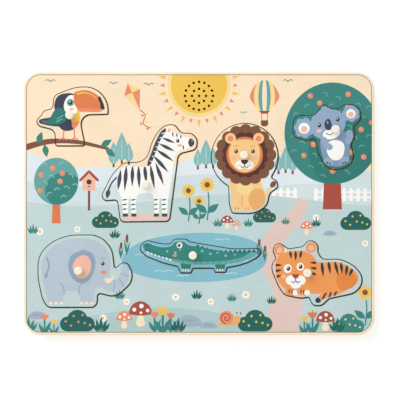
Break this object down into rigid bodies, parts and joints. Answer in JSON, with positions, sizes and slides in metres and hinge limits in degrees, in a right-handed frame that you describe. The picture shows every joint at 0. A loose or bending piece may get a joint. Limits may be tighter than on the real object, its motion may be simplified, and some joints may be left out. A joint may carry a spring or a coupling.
{
  "type": "peg puzzle",
  "caption": "Framed wooden peg puzzle with lift-out animals on pegs, a speaker grille and sound electronics inside.",
  "frame": {"origin": "middle of the back face that the board rests on", "axes": "+X to the right of the picture, +Y to its top edge, +Z out of the picture, along the pegs"},
  "size_m": [0.3, 0.225, 0.033],
  "materials": {
    "printed_plywood": "satin print",
    "plywood": "bare",
    "frame_wood": "sanded",
    "peg_wood": "turned",
    "toucan_print": "satin print",
    "zebra_print": "satin print",
    "lion_print": "satin print",
    "koala_print": "satin print",
    "elephant_print": "satin print",
    "crocodile_print": "satin print",
    "tiger_print": "satin print",
    "steel": "zinc plated",
    "brass": "turned",
    "dark_plastic": "fine grained",
    "pale_plastic": "fine grained",
    "circuit": "solder mask",
    "chip_resin": "cast",
    "sensor": "coated",
    "cell_wrap": "plain wrap",
    "magnet": "plain",
    "cone_paper": "pressed",
    "foam": "open cell",
    "lead_insulation": "extruded"
  },
  "bodies": {
    "board": {"front_panel": "printed_plywood", "floor_board": "plywood", "back_panel": "plywood", "frame_top": "frame_wood", "frame_bottom": "frame_wood", "frame_left": "frame_wood", "frame_right": "frame_wood", "screw_blocks": "frame_wood", "support_posts": "frame_wood", "back_screws": "steel", "light_sensors": "sensor", "speaker_basket": "steel", "speaker_cone": "cone_paper", "speaker_magnet": "magnet", "speaker_gasket": "foam", "circuit_board": "circuit", "board_spacers": "pale_plastic", "board_screws": "steel", "sound_chip": "chip_resin", "amplifier_chip": "chip_resin", "capacitor": "cell_wrap", "resistors": "sensor", "battery_box": "dark_plastic", "battery_box_screws": "steel", "upper_battery": "cell_wrap", "lower_battery": "cell_wrap", "bridge_contact": "steel", "upper_contact": "steel", "lower_contact": "steel", "screw_insert": "brass", "switch_body": "dark_plastic", "sensor_leads": "lead_insulation", "speaker_leads": "lead_insulation", "battery_leads": "lead_insulation", "switch_leads": "lead_insulation"},
    "toucan": {"toucan_piece": "toucan_print", "toucan_peg": "peg_wood"},
    "zebra": {"zebra_piece": "zebra_print", "zebra_peg": "peg_wood"},
    "lion": {"lion_piece": "lion_print", "lion_peg": "peg_wood"},
    "koala": {"koala_piece": "koala_print", "koala_peg": "peg_wood"},
    "elephant": {"elephant_piece": "elephant_print", "elephant_peg": "peg_wood"},
    "crocodile": {"crocodile_piece": "crocodile_print", "crocodile_peg": "peg_wood"},
    "tiger": {"tiger_piece": "tiger_print", "tiger_peg": "peg_wood"},
    "cover": {"battery_cover": "dark_plastic"},
    "cover_screw": {"cover_screw": "steel"},
    "slider": {"switch_slider": "pale_plastic"}
  },
  "joints": [
    {"name": "toucan_lift", "type": "slide", "parent": "board", "child": "toucan", "axis": [0, 0, 1], "range_m": [0, 0.05]},
    {"name": "zebra_lift", "type": "slide", "parent": "board", "child": "zebra", "axis": [0, 0, 1], "range_m": [0, 0.05]},
    {"name": "lion_lift", "type": "slide", "parent": "board", "child": "lion", "axis": [0, 0, 1], "range_m": [0, 0.05]},
    {"name": "koala_lift", "type": "slide", "parent": "board", "child": "koala", "axis": [0, 0, 1], "range_m": [0, 0.05]},
    {"name": "elephant_lift", "type": "slide", "parent": "board", "child": "elephant", "axis": [0, 0, 1], "range_m": [0, 0.05]},
    {"name": "crocodile_lift", "type": "slide", "parent": "board", "child": "crocodile", "axis": [0, 0, 1], "range_m": [0, 0.05]},
    {"name": "tiger_lift", "type": "slide", "parent": "board", "child": "tiger", "axis": [0, 0, 1], "range_m": [0, 0.05]},
    {"name": "cover_hinge", "type": "hinge", "parent": "board", "child": "cover", "pos_m": [0.01095, -0.01, 0.0012], "axis": [0, 1, 0], "range_deg": [0, 95]},
    {"name": "cover_screw_turn", "type": "hinge", "parent": "cover", "child": "cover_screw", "pos_m": [0.06525, -0.01, 0.0012], "axis": [0, 0, 1], "continuous": true},
    {"name": "switch_slide", "type": "slide", "parent": "board", "child": "slider", "axis": [1, 0, 0], "range_m": [0, 0.004]}
  ]
}
